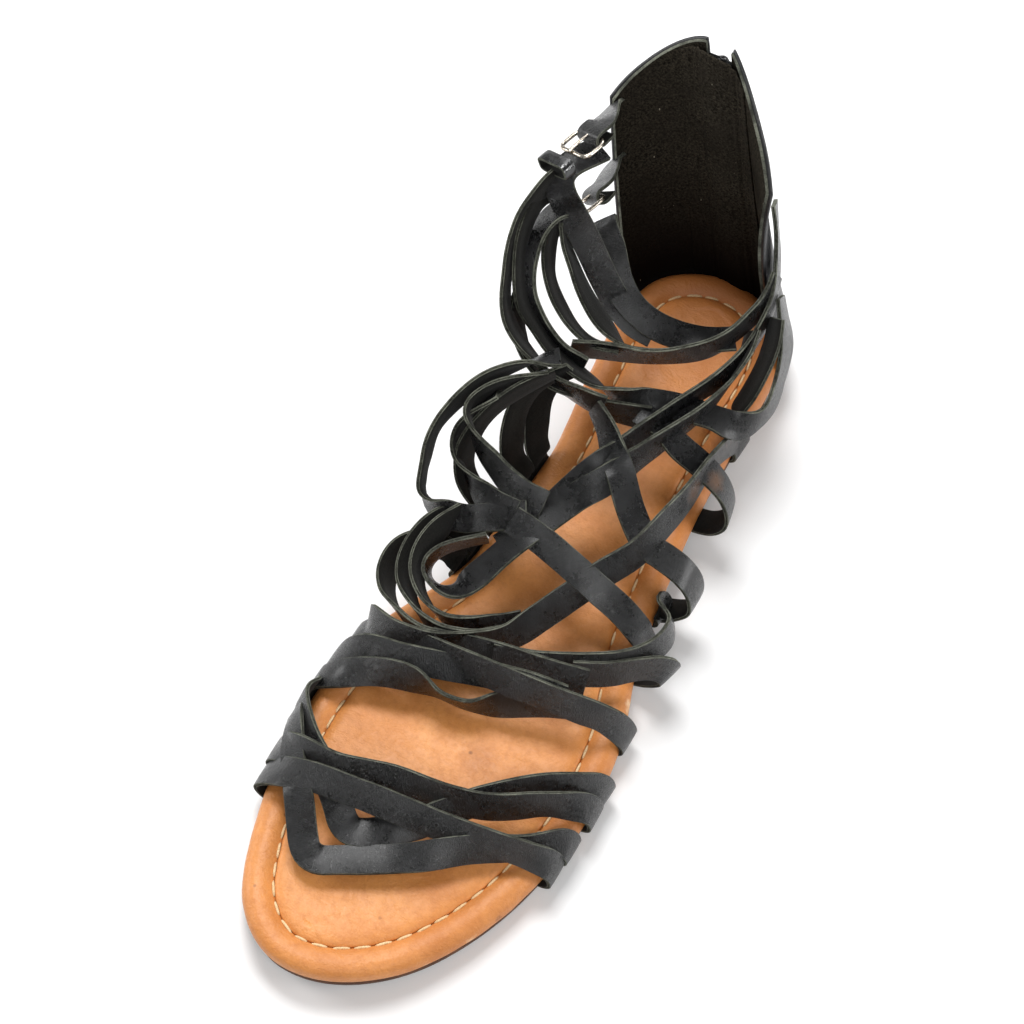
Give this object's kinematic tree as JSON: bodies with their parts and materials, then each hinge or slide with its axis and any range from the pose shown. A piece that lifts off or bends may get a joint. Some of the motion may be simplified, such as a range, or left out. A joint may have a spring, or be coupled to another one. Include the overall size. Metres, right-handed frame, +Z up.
{
  "type": "gladiator sandal",
  "caption": "Flat left gladiator sandal: tan stitched footbed on a thin sole, criss-crossed black straps, tall zipped heel counter with small buckles.",
  "frame": {"origin": "on the floor under the middle of the heel, at the heel lift's flat underside", "axes": "+Z up from the floor, -Y towards the toe, +X towards the outer (little toe) side"},
  "size_m": [0.0962, 0.2667, 0.118],
  "materials": {
    "strap_leather": "satin black faux leather, grey cut edges, dark grey suede back",
    "counter_leather": "black faux leather outside, brown-black suede lining",
    "footbed_leather": "mottled tan satin with cream stitching and small scuffs",
    "sock_leather": "mottled tan satin, fine creases",
    "sole_rubber": "matt dark brown",
    "buckle_metal": "polished nickel, slightly worn",
    "zip_metal": "polished nickel, slightly worn",
    "zip_tape": "matt black coil zip"
  },
  "bodies": {
    "shoe": {"heel_lift": "sole_rubber", "outsole": "sole_rubber", "footbed": "footbed_leather", "sock_lining": "sock_leather", "strap_upper": "strap_leather", "counter_inner_half": "counter_leather", "counter_outer_half": "counter_leather", "zip_chain": "zip_tape", "buckle_upper_frame": "buckle_metal", "buckle_upper_prong": "buckle_metal", "buckle_lower_frame": "buckle_metal", "buckle_lower_prong": "buckle_metal", "zip_slider": "zip_metal"},
    "zip_pull": {"zip_pull_tab": "zip_metal"}
  },
  "joints": [
    {"name": "pull_tab_swing", "type": "hinge", "parent": "shoe", "child": "zip_pull", "pos_m": [-0.01594, 0.04004, 0.10489], "axis": [0.9859, 0, 0.1676], "range_deg": [0, 170]}
  ]
}
